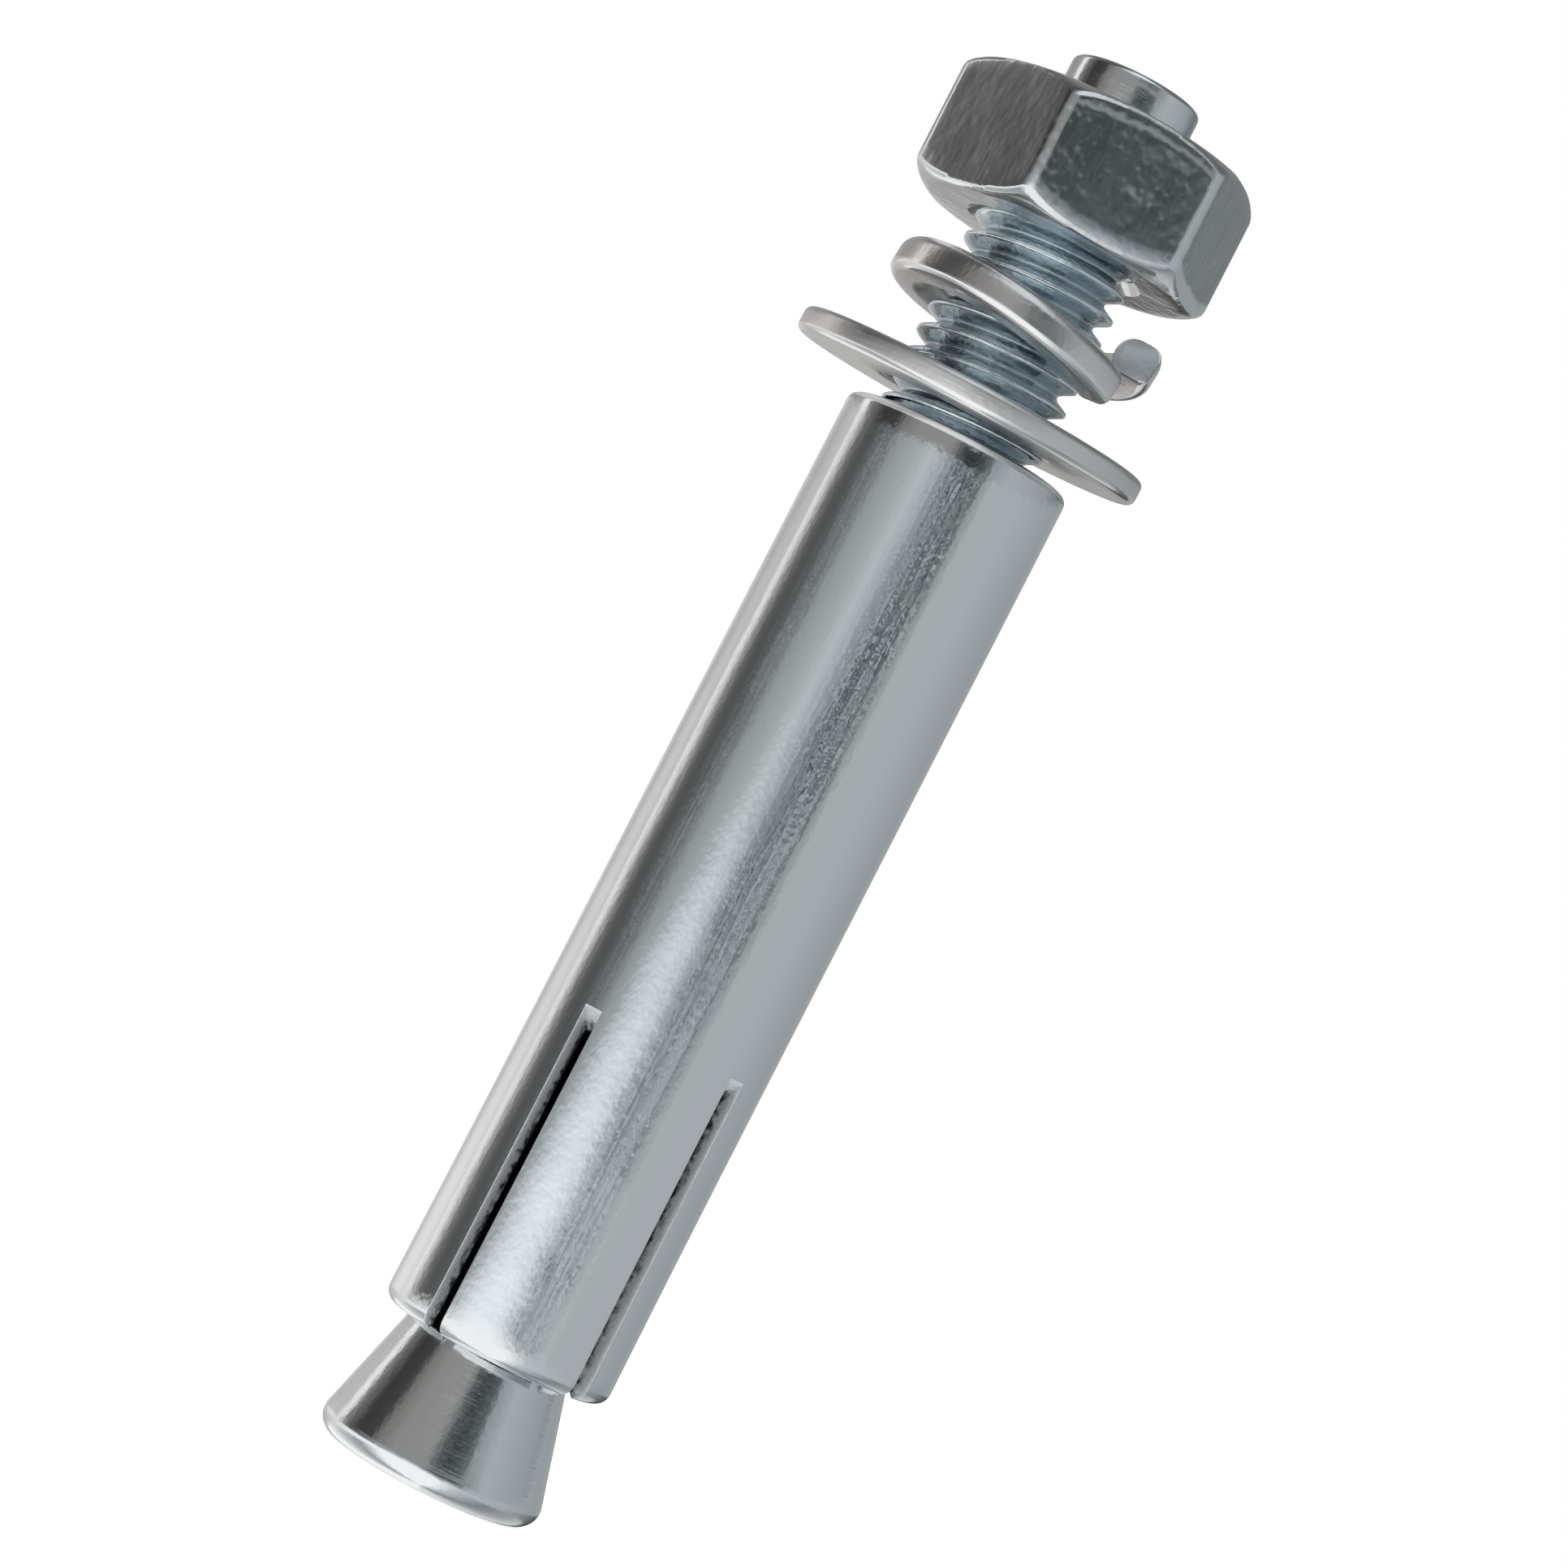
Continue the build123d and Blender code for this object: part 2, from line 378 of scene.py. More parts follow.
def thread_rows(angle, low, high, radius_at):
    """One column's points through a thread, climbing one pitch per turn and held between two heights."""
    ridge = ridge_rows()
    crest_turn = (angle + 90.0 + CREST_BEARING) / 360.0
    first_root = CREST_HEIGHT - THREAD_PITCH / 2
    # Whole pitches to spare at both ends, because a column's thread starts up to two pitches off
    start = first_root - THREAD_PITCH * (ceil((first_root - low) / THREAD_PITCH) + 2)
    pitches = ceil((high - low) / THREAD_PITCH) + 4
    points = []
    for pitch in range(pitches):
        for share, depth in ridge:
            height = start + THREAD_PITCH * (pitch + share + crest_turn)
            height = min(max(height, low), high)
            points.append((radius_at(height, share, depth), height))
    return points


# %% Sizes of the bolt
THREAD_RADIUS = 5.0
THREAD_DEPTH = 0.92
THREAD_LENGTH = 45.0
RUN_OUT_TURNS = 2.5
SHANK_RADIUS = 4.5
STUB_RADIUS = 4.05
STUB_LENGTH = 3.1
STUB_ROUNDING = 0.35
CONE_RADIUS = 6.9
CONE_HALF_ANGLE = 15.5
CONE_ROUNDING = 1.2
# Worn spots on the crests are read from a noise, along a circle of this radius
CREST_WEAR = 0.05
WEAR_CIRCLE = 2.6
WEAR_CLIMB = 0.9
BOLT_COLUMNS = 96

thread_top = bolt_tip - STUB_LENGTH
thread_foot = thread_top - THREAD_LENGTH
print(f"thread from {thread_foot:.2f} to {thread_top:.2f} mm, {len(ridge_rows())} rows of points a pitch")


# %% Half section of the bolt below and above its thread
def bolt_profile_below():
    """From the middle of the flat end, over the cone and the shank, to the foot of the thread."""
    slope = tan(radians(CONE_HALF_ANGLE))
    rounding_r = CONE_RADIUS - CONE_ROUNDING
    side_r = rounding_r + CONE_ROUNDING * cos(radians(CONE_HALF_ANGLE))
    side_z = CONE_ROUNDING * (1 + sin(radians(CONE_HALF_ANGLE)))
    cone_height = side_z + (side_r - SHANK_RADIUS) / slope
    # Two rings on the flat end keep its faces from being long slivers that meet in the middle
    flat_end = [(radius, 0.0) for radius in (0.0, 2.0, 4.5)]
    rim = arc(rounding_r, CONE_ROUNDING, CONE_ROUNDING, -90, CONE_HALF_ANGLE, 14)
    cone = [(side_r - slope * (z - side_z), z) for z in spread(side_z, cone_height, 12)[1:-1]]
    shank = [(SHANK_RADIUS, z) for z in spread(cone_height + 0.3, thread_foot, 16)]
    return flat_end + rim + cone + shank


def bolt_profile_above():
    """The smooth stub, from the end of the thread to the middle of the tip."""
    inner = STUB_RADIUS - STUB_ROUNDING
    side = [(STUB_RADIUS, z) for z in spread(thread_top, bolt_tip - STUB_ROUNDING, 4)[1:-1]]
    edge = arc(inner, bolt_tip - STUB_ROUNDING, STUB_ROUNDING, 0, 90, 5)
    return side + edge + [(inner * 0.6, bolt_tip), (0.0, bolt_tip)]


def smooth_step(value):
    """Ease from 0 to 1."""
    value = min(max(value, 0.0), 1.0)
    return value * value * (3 - 2 * value)


# %% Build the bolt
def bolt_column(angle):
    """All points of the bolt's skin at one angle."""
    def radius_at(height, share, depth):
        uneven = noise.noise(Vector(around(WEAR_CIRCLE, angle, height * WEAR_CLIMB)))
        wear = CREST_WEAR * max(0.0, uneven) * (1 - depth)
        ridge_radius = THREAD_RADIUS - THREAD_DEPTH * depth - wear
        fade = smooth_step((height - thread_foot) / (RUN_OUT_TURNS * THREAD_PITCH))
        lead_in = STUB_RADIUS + (thread_top - height)
        return min(SHANK_RADIUS + (ridge_radius - SHANK_RADIUS) * fade, lead_in)

    profile = bolt_profile_below() + thread_rows(angle, thread_foot, thread_top, radius_at)
    profile += bolt_profile_above()
    return [around(radius, angle, height) for radius, height in profile]


bolt_mesh = skin("threaded_bolt", [bolt_column(angle) for angle in spread(0, 360, BOLT_COLUMNS)])
place(bolt_mesh, "bolt", "cone_bolt", turned_bolt)
bolt_mesh.materials.append(rolled_thread)
for polygon in bolt_mesh.polygons:
    polygon.material_index = int(thread_foot < polygon.center.z / MM < thread_top)

# %% [markdown]
# ## Finishes of the sleeve
# The tube is drawn through a ring, which leaves it the smoothest of all the parts, with lines along it
# and a soft grain from pickling. In the slots, the slitting saw leaves torn, matt walls. Each wall is
# painted light and blotchy at its outer edge and dark at the bore: the dark is painted shade for the
# deep, narrow cut. One grey on the whole wall would look like a cut in plastic. The saw's teeth mark
# steel every tenth of a millimetre or less, and here the marks are drawn more than twice as coarse.

# %% Drawn zinc and sawn steel
# The eye gets long mirrored stripes whose edges break into fine flecks
drawn_tube = plated_steel("drawn_tube_zinc", "#edf0f1", lay="along", line_width=0.22, line_depth=0.004,
                          grain=0.36, grain_depth=0.0070, waviness=0.05, roughness=0.07)
# Painted shade: the slot's walls run from this light grey at the outer edge to the dark grey at the bore
SAWN_LIGHT = "#d3d7d9"
SAWN_DARK = "#34383a"
SAWN_DARK_RADIUS = 5.95
SAWN_LIGHT_RADIUS = 6.4
SAWN_UNEVEN = 0.35
SAWN_BLOTCH = 0.6
SAWN_MARK = 0.25
SAWN_MARK_DEPTH = 0.05


def sawn_steel(name, axis_x):
    """Wall of a saw cut in a tube, with painted shade that darkens it towards the bore. Lengths are in
    millimetres.
    """
    material, tree = new_material(name)
    in_mm = place_in_mm(tree)
    blotches = add_node(tree, "ShaderNodeTexNoise",
                        {"Vector": in_mm, "Scale": 1 / SAWN_BLOTCH, "Detail": 2.0})
    uneven = add_node(tree, "ShaderNodeMapRange",
                      {"Value": blotches.outputs["Fac"], "From Min": NOISE_LOW, "From Max": NOISE_HIGH,
                       "To Min": -SAWN_UNEVEN, "To Max": SAWN_UNEVEN})
    moved = add_node(tree, "ShaderNodeMath", {0: from_axis(tree, in_mm, axis_x), 1: uneven.outputs[0]},
                     operation="ADD")
    share = add_node(tree, "ShaderNodeMapRange",
                     {"Value": moved.outputs[0], "From Min": SAWN_DARK_RADIUS, "From Max": SAWN_LIGHT_RADIUS})
    colour = add_node(tree, "ShaderNodeMix",
                      {"Factor": share.outputs[0], "A": linear(SAWN_DARK), "B": linear(SAWN_LIGHT)},
                      data_type="RGBA")
    marks = add_node(tree, "ShaderNodeTexNoise", {"Vector": in_mm, "Scale": 1 / SAWN_MARK, "Detail": 1.0})
    torn = add_node(tree, "ShaderNodeBump",
                    {"Height": marks.outputs["Fac"], "Distance": SAWN_MARK_DEPTH * MM, "Strength": 1.0})
    # Half metal stands for bare torn steel with grime in it
    surface = add_node(tree, "ShaderNodeBsdfPrincipled",
                       {"Base Color": colour.outputs[2], "Metallic": 0.5, "Roughness": 0.5,
                        "Normal": torn.outputs[0]})
    add_node(tree, "ShaderNodeOutputMaterial", {"Surface": surface.outputs[0]})
    print(f"{name}: dark up to {SAWN_DARK_RADIUS} mm from the tube's axis, light from {SAWN_LIGHT_RADIUS}")
    return material


# %% [markdown]
# ## The expansion sleeve
# The sleeve is a drawn steel tube, sawn twice across its foot so that four legs can spread over the
# cone. The saw's round blade leaves each slot longer outside than inside, which is the bright slope
# at the slot's end. Cutting the slots with a Boolean would leave long thin faces that shade badly, so
# the columns are laid along the slots' edges, the cells inside the slots are left out, and the
# slot's walls are added as faces of their own. A Bevel modifier then breaks all the sawn edges.

# %% Sizes of the sleeve
SLEEVE_RADIUS = 7.0
SLEEVE_BORE = 5.85
SLEEVE_OFFSET = 0.3
SLEEVE_FOOT_ROUNDING = 0.85
SLEEVE_TOP_CHAMFER = 0.55
SLEEVE_BORE_CHAMFER = 0.25
SLOT_WIDTH = 1.15
SLOT_LENGTH = 20.2
SLOT_BEARINGS = (-33.0, 49.0, 147.0, 229.0)
SAW_RADIUS = 14.0
SAW_DEPTH = 4.0
LEG_FLARE = 0.10
SAWN_EDGE = 0.10
SAWN_EDGE_ANGLE = 40.0
LEG_COLUMNS = 22
SLOT_COLUMNS = 4


# %% Ends and edges of the slots
def slot_height(radius):
    """How far above the foot the saw's arc ends a slot, at a radius in the wall."""
    blade_out = SLEEVE_RADIUS + SAW_RADIUS - SAW_DEPTH
    blade_up = SLOT_LENGTH - sqrt(SAW_RADIUS**2 - (SAW_RADIUS - SAW_DEPTH) ** 2)
    return blade_up + sqrt(SAW_RADIUS**2 - (blade_out - radius) ** 2)


def slot_edge(slot, side, radius):
    """Angle of a slot's left (-1) or right (+1) edge at a radius. The slot's walls are parallel."""
    turns, index = divmod(slot, len(SLOT_BEARINGS))
    middle = SLOT_BEARINGS[index] + 360.0 * turns - 90.0
    return middle + side * degrees(asin(SLOT_WIDTH / 2 / radius))


# %% Section and columns of the sleeve
def sleeve_section():
    """Closed section of the wall, up the outside and down the bore, and its rows beside a slot."""
    outer_end, inner_end = slot_height(SLEEVE_RADIUS), slot_height(SLEEVE_BORE)
    length = sleeve_top - sleeve_foot
    foot_r = SLEEVE_RADIUS - SLEEVE_FOOT_ROUNDING
    outer_low = arc(foot_r, SLEEVE_FOOT_ROUNDING, SLEEVE_FOOT_ROUNDING, -90, 0, 8)
    outer_low += [(SLEEVE_RADIUS, z) for z in spread(SLEEVE_FOOT_ROUNDING, outer_end, 16)[1:]]
    # The bore has as many rows beside a slot as the outside, so that the slot's walls are quads
    inner_low = [(SLEEVE_BORE + SLEEVE_BORE_CHAMFER, 0.0)]
    inner_low += [(SLEEVE_BORE, z) for z in spread(SLEEVE_BORE_CHAMFER, inner_end, len(outer_low) - 2)]
    chamfer_z = length - SLEEVE_TOP_CHAMFER
    outer_high = [(SLEEVE_RADIUS, z) for z in spread(outer_end, chamfer_z, 24)[1:]]
    outer_high += arc(SLEEVE_RADIUS - SLEEVE_TOP_CHAMFER, chamfer_z, SLEEVE_TOP_CHAMFER, 0, 90, 6)[1:]
    inner_high = [(SLEEVE_BORE, z) for z in spread(inner_end, length - SLEEVE_BORE_CHAMFER, 20)[1:]]
    inner_high += [(SLEEVE_BORE + SLEEVE_BORE_CHAMFER, length)]
    return outer_low + outer_high + inner_high[::-1] + inner_low[::-1], len(outer_low)


def sleeve_column(section, start, stop, share):
    """The wall's points at a share of the way between two slot edges, each (slot, side)."""
    points = []
    for radius, height in section:
        angle = slot_edge(*start, radius) * (1 - share) + slot_edge(*stop, radius) * share
        flare = LEG_FLARE * max(0.0, 1 - height / slot_height(SLEEVE_RADIUS)) ** 2
        x, y, z = around(radius + flare, angle, sleeve_foot + height)
        points.append((x + SLEEVE_OFFSET, y, z))
    return points


def sleeve_columns(section):
    """Columns of the wall, slot after leg, each with a flag that says whether it starts a slot's cell."""
    columns, in_slot = [], []
    for slot in range(len(SLOT_BEARINGS)):
        for share in spread(0, 1, SLOT_COLUMNS)[:-1]:
            columns.append(sleeve_column(section, (slot, -1), (slot, 1), share))
            in_slot.append(True)
        for share in spread(0, 1, LEG_COLUMNS)[:-1]:
            columns.append(sleeve_column(section, (slot, 1), (slot + 1, -1), share))
            in_slot.append(False)
    columns.append(columns[0])
    return columns, in_slot


# %% Build the sleeve
def sleeve_mesh():
    """The tube with its slots left open and their walls added."""
    section, low_rows = sleeve_section()
    columns, in_slot = sleeve_columns(section)
    rows = len(section)
    last_low, first_inner_low = low_rows - 1, rows - low_rows

    def in_the_slot(column, row):
        return in_slot[column] and (row < last_low or row >= first_inner_low)

    walls = []
    for column, open_cell in enumerate(in_slot):
        if open_cell:
            walls.append(((column, last_low), (column + 1, last_low),
                          (column + 1, first_inner_low), (column, first_inner_low)))
    for slot in range(len(SLOT_BEARINGS)):
        left = slot * (SLOT_COLUMNS + LEG_COLUMNS)
        for column in (left, left + SLOT_COLUMNS):
            for row in range(last_low):
                walls.append(((column, row), (column, row + 1),
                              (column, rows - 2 - row), (column, rows - 1 - row)))
    return skin("slotted_sleeve", columns, closed_rows=True, extra_faces=walls, skip=in_the_slot)


sleeve = place(sleeve_mesh(), "sleeve", "expansion_sleeve", drawn_tube)
sleeve.data.materials.append(sawn_steel("sawn_slot_steel_painted_shade", SLEEVE_OFFSET))
bevel = sleeve.modifiers.new("broken_edges", "BEVEL")
bevel.width = SAWN_EDGE * MM
bevel.segments = 2
bevel.limit_method = "ANGLE"
bevel.angle_limit = radians(SAWN_EDGE_ANGLE)
bevel.harden_normals = True
print(f"slots end {slot_height(SLEEVE_RADIUS):.2f} mm up outside and {slot_height(SLEEVE_BORE):.2f} inside")

# %% [markdown]
# ## The hexagon nut
# A cold-formed nut is a hexagonal slug pressed in a die: its corners are softly rounded, its two
# faces end in a domed chamfer, and each side meets the dome in an arc. A cylinder cut by a cone would
# give the arc through a Boolean. Here each column knows how far out the hexagon is at its angle, so
# it can work out the height at which the dome meets the side, and puts its rows there. The
# same column goes on through the countersink and down the inside thread, which runs in step with
# the bolt's. The die leaves coarser pebbles than drawing does, and flat faces show them most.

# %% Pressed zinc and sizes of the nut
# The eye gets flat faces that are each one grey, mottled and faintly streaked
pressed_nut = plated_steel("pressed_nut_zinc", "#e6e9ea", lay="along", line_width=0.26, line_depth=0.006,
                           grain=0.70, grain_depth=0.025, waviness=0.17, roughness=0.11)
NUT_HALF_WIDTH = 8.5
NUT_CORNER_BEARING = -17.5
NUT_CORNER_ROUNDING = 1.0
NUT_FACE_RADIUS = 8.075
NUT_CHAMFER_ANGLE = 30.0
NUT_DOME = 0.2
NUT_EDGE_SOFTNESS = 0.28
NUT_MOUTH_RADIUS = 5.6
NUT_THREAD_DEPTH = 0.88
NUT_THREAD_PLAY = 0.08
NUT_SIDE_COLUMNS = 26
NUT_CORNER_COLUMNS = 8
# The inside thread stops this short of each face, so that its ends don't merge with the mouth
NUT_THREAD_INSET = 0.001


# %% Outline and dome of the nut
nut_reach = NUT_HALF_WIDTH / cos(radians(30))
rounding_at = (NUT_HALF_WIDTH - NUT_CORNER_ROUNDING) / cos(radians(30))
corner_out = rounding_at + NUT_CORNER_ROUNDING * cos(radians(30))
corner_half_angle = degrees(atan(NUT_CORNER_ROUNDING * sin(radians(30)) / corner_out))


def nut_width_at(off_corner):
    """Distance from the axis to the hexagon's outline, at an angle from the nearest corner."""
    turn = radians(abs(off_corner))
    if abs(off_corner) < corner_half_angle:
        return rounding_at * cos(turn) + sqrt(NUT_CORNER_ROUNDING**2 - (rounding_at * sin(turn)) ** 2)
    return NUT_HALF_WIDTH / cos(radians(30) - turn)


def dome_height(radius):
    """Height of the domed chamfer above the nut's face, at a radius."""
    run = nut_reach - NUT_FACE_RADIUS
    share = (radius - NUT_FACE_RADIUS) / run
    return run * share * tan(radians(NUT_CHAMFER_ANGLE)) - 4 * NUT_DOME * share * (1 - share)


def nut_end_rows(outline):
    """One end of the nut from its mouth out to just past the arc, as (radius, height above the face)."""
    corner = (outline, dome_height(outline))
    before = (outline - NUT_EDGE_SOFTNESS, dome_height(max(outline - NUT_EDGE_SOFTNESS, NUT_FACE_RADIUS)))
    after = (outline, corner[1] + NUT_EDGE_SOFTNESS)
    # The sharp corner is drawn half-way in towards the points before and after it
    blunt = tuple((before[i] + after[i] + 2 * corner[i]) / 4 for i in (0, 1))
    rows = [(radius, 0.0) for radius in spread(NUT_MOUTH_RADIUS, NUT_FACE_RADIUS, 4)]
    rows += [(radius, dome_height(radius)) for radius in spread(NUT_FACE_RADIUS, before[0], 5)[1:]]
    return rows + [blunt, after]


# %% Build the nut
def nut_column(angle, off_corner):
    """All points of the nut's skin at one angle: up the outside, over the face and down the thread."""
    height = nut_head - nut_foot
    foot_rows = nut_end_rows(nut_width_at(off_corner))
    head_rows = [(radius, height - up) for radius, up in reversed(foot_rows)]
    side = [(foot_rows[-1][0], z) for z in spread(foot_rows[-1][1], head_rows[0][1], 8)[1:-1]]
    outside = [(radius, nut_foot + z) for radius, z in foot_rows + side + head_rows]

    def bore_at(z, share, depth):
        ridge = THREAD_RADIUS + NUT_THREAD_PLAY - NUT_THREAD_DEPTH * depth
        from_end = min(z - nut_foot, nut_head - z)
        return max(ridge, NUT_MOUTH_RADIUS - from_end)

    inside = thread_rows(angle, nut_foot + NUT_THREAD_INSET, nut_head - NUT_THREAD_INSET, bore_at)
    return [around(radius, angle, z) for radius, z in outside + inside[::-1]]


def nut_angles():
    """Each column's angle and its angle from the nearest corner, close together round the corners."""
    columns = []
    for corner in range(6):
        corner_angle = NUT_CORNER_BEARING - 90.0 + 60.0 * corner
        offsets = spread(-corner_half_angle, corner_half_angle, NUT_CORNER_COLUMNS)[:-1]
        offsets += spread(corner_half_angle, 60.0 - corner_half_angle, NUT_SIDE_COLUMNS)[:-1]
        for offset in offsets:
            columns.append((corner_angle + offset, offset if offset < 30 else 60.0 - offset))
    return columns + [(columns[0][0] + 360.0, columns[0][1])]


nut_mesh = skin("hexagon_nut", [nut_column(*column) for column in nut_angles()], closed_rows=True)
place(nut_mesh, "nut", "hex_nut", pressed_nut)

# %% [markdown]
# ## Finishes of the washers
# Both washers are tumbled in a barrel with other parts, which leaves their faces duller than the
# tube. The photograph still shows one thin bright line along the lower edge of each. Punching draws
# an edge round and polishes it, and the coiling roll probably does the same to the bar. A mask from
# the mesh's own curvature would find such edges too, but also every other edge, so the rows of the
# skin that make the rounding simply wear a glossier zinc.

# %% Punched, coiled, burnished and sheared zinc
# The eye gets a soft grey ring, warmer and duller than the tube
punched_ring = plated_steel("punched_washer_zinc", "#edecea", lay="round", line_width=0.14, line_depth=0.006,
                            grain=0.40, grain_depth=0.014, waviness=0.08, roughness=0.34)
# The eye gets soft bands that change as the bar turns round the bolt
coiled_bar = plated_steel("coiled_spring_zinc", "#ebe9e7", lay="round", line_width=0.18, line_depth=0.006,
                          grain=0.34, grain_depth=0.016, waviness=0.10, roughness=0.24)
# The eye gets a crisp light line
burnished_edge = plated_steel("burnished_edge_zinc", "#f1f1f0", lay="round", line_width=0.18,
                              line_depth=0.002, grain=0.34, grain_depth=0.004, waviness=0.05,
                              roughness=0.12)
# The eye gets a matt, pale cut face that mirrors nothing
sheared_end = plated_steel("sheared_end_zinc", "#d3d9dc", lay="along", line_width=0.30, line_depth=0.012,
                           grain=0.30, grain_depth=0.020, waviness=0.05, roughness=0.42)

# %% [markdown]
# ## The plain washer
# A washer is punched from strip, and tumbling rounds its edges: more at the rim, less in the bore. It
# hangs a little askew on the thread. A torus or a bevelled cylinder would be too even, so the
# section is a rounded rectangle whose rim wanders by a few hundredths of a millimetre as it goes
# round.

# %% Sizes of the plain washer
WASHER_RADIUS = 11.0
WASHER_BORE = 5.5
WASHER_THICKNESS = 1.5
WASHER_RIM_ROUNDING = 0.42
WASHER_RIM_STEPS = 8
WASHER_BORE_ROUNDING = 0.2
WASHER_NOD = 3.5
WASHER_LEAN = 1.0
WASHER_COLUMNS = 144
RIM_WANDER = 0.03
RIM_WANDERS_PER_MM = 0.35


def tilt(nod, lean):
    """Turn that tips a ring's near side down by nod and its right side down by lean, in degrees."""
    return Matrix.Rotation(radians(nod), 3, "X") @ Matrix.Rotation(radians(lean), 3, "Y")


def middle_of(node):
    """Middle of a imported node's box, in millimetres."""
    low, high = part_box(node)
    return Vector([(a + b) / 2 / MM for a, b in zip(low, high)])


# %% Build the plain washer
def washer_section():
    """Rounded rectangle (radius, height), anticlockwise from the middle of the rim."""
    half = WASHER_THICKNESS / 2
    rim, bore = WASHER_RADIUS - WASHER_RIM_ROUNDING, WASHER_BORE + WASHER_BORE_ROUNDING
    points = [(WASHER_RADIUS, 0.0)]
    points += arc(rim, half - WASHER_RIM_ROUNDING, WASHER_RIM_ROUNDING, 0, 90, WASHER_RIM_STEPS)
    points += [(r, half) for r in spread(rim, bore, 8)[1:-1]]
    points += arc(bore, half - WASHER_BORE_ROUNDING, WASHER_BORE_ROUNDING, 90, 180, 4)
    points += arc(bore, WASHER_BORE_ROUNDING - half, WASHER_BORE_ROUNDING, 180, 270, 4)
    points += [(r, -half) for r in spread(bore, rim, 8)[1:-1]]
    return points + arc(rim, WASHER_RIM_ROUNDING - half, WASHER_RIM_ROUNDING, 270, 360, WASHER_RIM_STEPS)


def washer_column(angle):
    """The washer's section at one angle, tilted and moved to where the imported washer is."""
    centre, turned = middle_of("flat_washer"), tilt(WASHER_NOD, WASHER_LEAN)
    column = []
    for radius, height in washer_section():
        point = Vector(around(radius, angle, height))
        inward = RIM_WANDER * (1 + noise.noise(point * RIM_WANDERS_PER_MM)) / 2
        column.append(centre + turned @ (point * (1 - inward / WASHER_RADIUS)))
    return column


# The section ends with its lower rounding, which is burnished but for its first and last step
section_rows = len(washer_section())
washer_burnished = range(section_rows - WASHER_RIM_STEPS, section_rows - 2)
washer_mesh = skin("plain_washer", [washer_column(angle) for angle in spread(0, 360, WASHER_COLUMNS)],
                   closed_rows=True, second_rows=washer_burnished)
place(washer_mesh, "plain_washer", "flat_washer", punched_ring)
washer_mesh.materials.append(burnished_edge)

# %% [markdown]
# ## The spring washer
# Round-edged bar is wound into one open turn, left-handed, so that its ends bite when the nut is
# loosened, and both ends are sheared off. A curve with a bevel object would carry the bar along the
# coil, but leaves its ends to be capped by hand. The skin tool walks the same path
# directly, and shrinks the last sections so that the sheared ends have a soft edge.

# %% Sizes of the spring washer
SPRING_BAR_WIDTH = 2.7
SPRING_BAR_HEIGHT = 2.35
# Rounding of the bar's corners: outer upper, inner upper, inner lower, outer lower
SPRING_BAR_ROUNDINGS = (0.85, 1.1, 1.1, 0.6)
SPRING_BAR_STEPS = 7
SPRING_COIL_RADIUS = 6.9
SPRING_RISE = 3.0
SPRING_OPENING = 22.0
SPRING_LOW_END_BEARING = 55.0
SPRING_NOD = -5.5
SPRING_LEAN = 5.0
SPRING_OFFSET = 0.25
SPRING_END_EDGE = 0.10
SPRING_COLUMNS = 120
NUT_GAP = 2.0

spring_turn = 360.0 - SPRING_OPENING
spring_way = radians(spring_turn) * SPRING_COIL_RADIUS
spring_middle = nut_foot - NUT_GAP - (SPRING_RISE + SPRING_BAR_HEIGHT) / 2
print(f"spring washer of {spring_way:.1f} mm of bar, its middle at {spring_middle:.2f} mm")


# %% Sections of the spring washer
def bar_section(shrink):
    """Rounded bar section (outwards, upwards), drawn in by a margin all round."""
    half_width, half_height = SPRING_BAR_WIDTH / 2 - shrink, SPRING_BAR_HEIGHT / 2 - shrink
    points = []
    for quarter, (side_x, side_y) in enumerate(((1, 1), (-1, 1), (-1, -1), (1, -1))):
        rounding = SPRING_BAR_ROUNDINGS[quarter] - shrink / 2
        centre_x, centre_y = side_x * (half_width - rounding), side_y * (half_height - rounding)
        points += arc(centre_x, centre_y, rounding, 90 * quarter, 90 * quarter + 90, SPRING_BAR_STEPS)
    return points


def spring_column(share, shrink):
    """The bar's section at a share of the coil's way from its low end. Shrunk by None it is one point."""
    angle = SPRING_LOW_END_BEARING - 90.0 - spring_turn * share
    outward = Vector(around(1.0, angle, 0.0))
    forward = Vector(around(1.0, angle - 90.0, SPRING_RISE / spring_way)).normalized()
    upward = forward.cross(outward)
    centre = outward * SPRING_COIL_RADIUS + Vector((0, 0, SPRING_RISE * (share - 0.5)))
    turned = tilt(SPRING_NOD, SPRING_LEAN)
    moved = Vector((SPRING_OFFSET, 0, spring_middle))
    if shrink is None:
        return [moved + turned @ centre] * len(bar_section(0))
    return [moved + turned @ (centre + outward * a + upward * b) for a, b in bar_section(shrink)]


# %% Build the spring washer
# Steps (share of the way, shrink) from the middle of the low end's face over its soft edge
edge_share = SPRING_END_EDGE / spring_way
end_steps = [(0.0, None), (0.0, SPRING_END_EDGE), (0.3 * edge_share, 0.3 * SPRING_END_EDGE),
             (edge_share, 0.0)]
coil_steps = end_steps + [(share, 0.0) for share in spread(edge_share, 1 - edge_share, SPRING_COLUMNS)[1:-1]]
coil_steps += [(1 - share, shrink) for share, shrink in reversed(end_steps)]

# The section's last quarter is the outer lower rounding
quarter_rows = SPRING_BAR_STEPS + 1
spring_burnished = range(3 * quarter_rows, 4 * quarter_rows - 1)
spring_mesh = skin("spring_washer_coil", [spring_column(*step) for step in coil_steps], closed_rows=True,
                   second_rows=spring_burnished)
place(spring_mesh, "lock_washer", "spring_washer", coiled_bar)
spring_mesh.materials.append(burnished_edge)
spring_mesh.materials.append(sheared_end)
SHEARED = 2

end_centres = [spring_column(share, None)[0] * MM for share in (0.0, 1.0)]
for polygon in spring_mesh.polygons:
    corners = [spring_mesh.vertices[index].co for index in polygon.vertices]
    if any((corner - centre).length < 2 * MERGE_DISTANCE for corner in corners for centre in end_centres):
        polygon.material_index = SHEARED
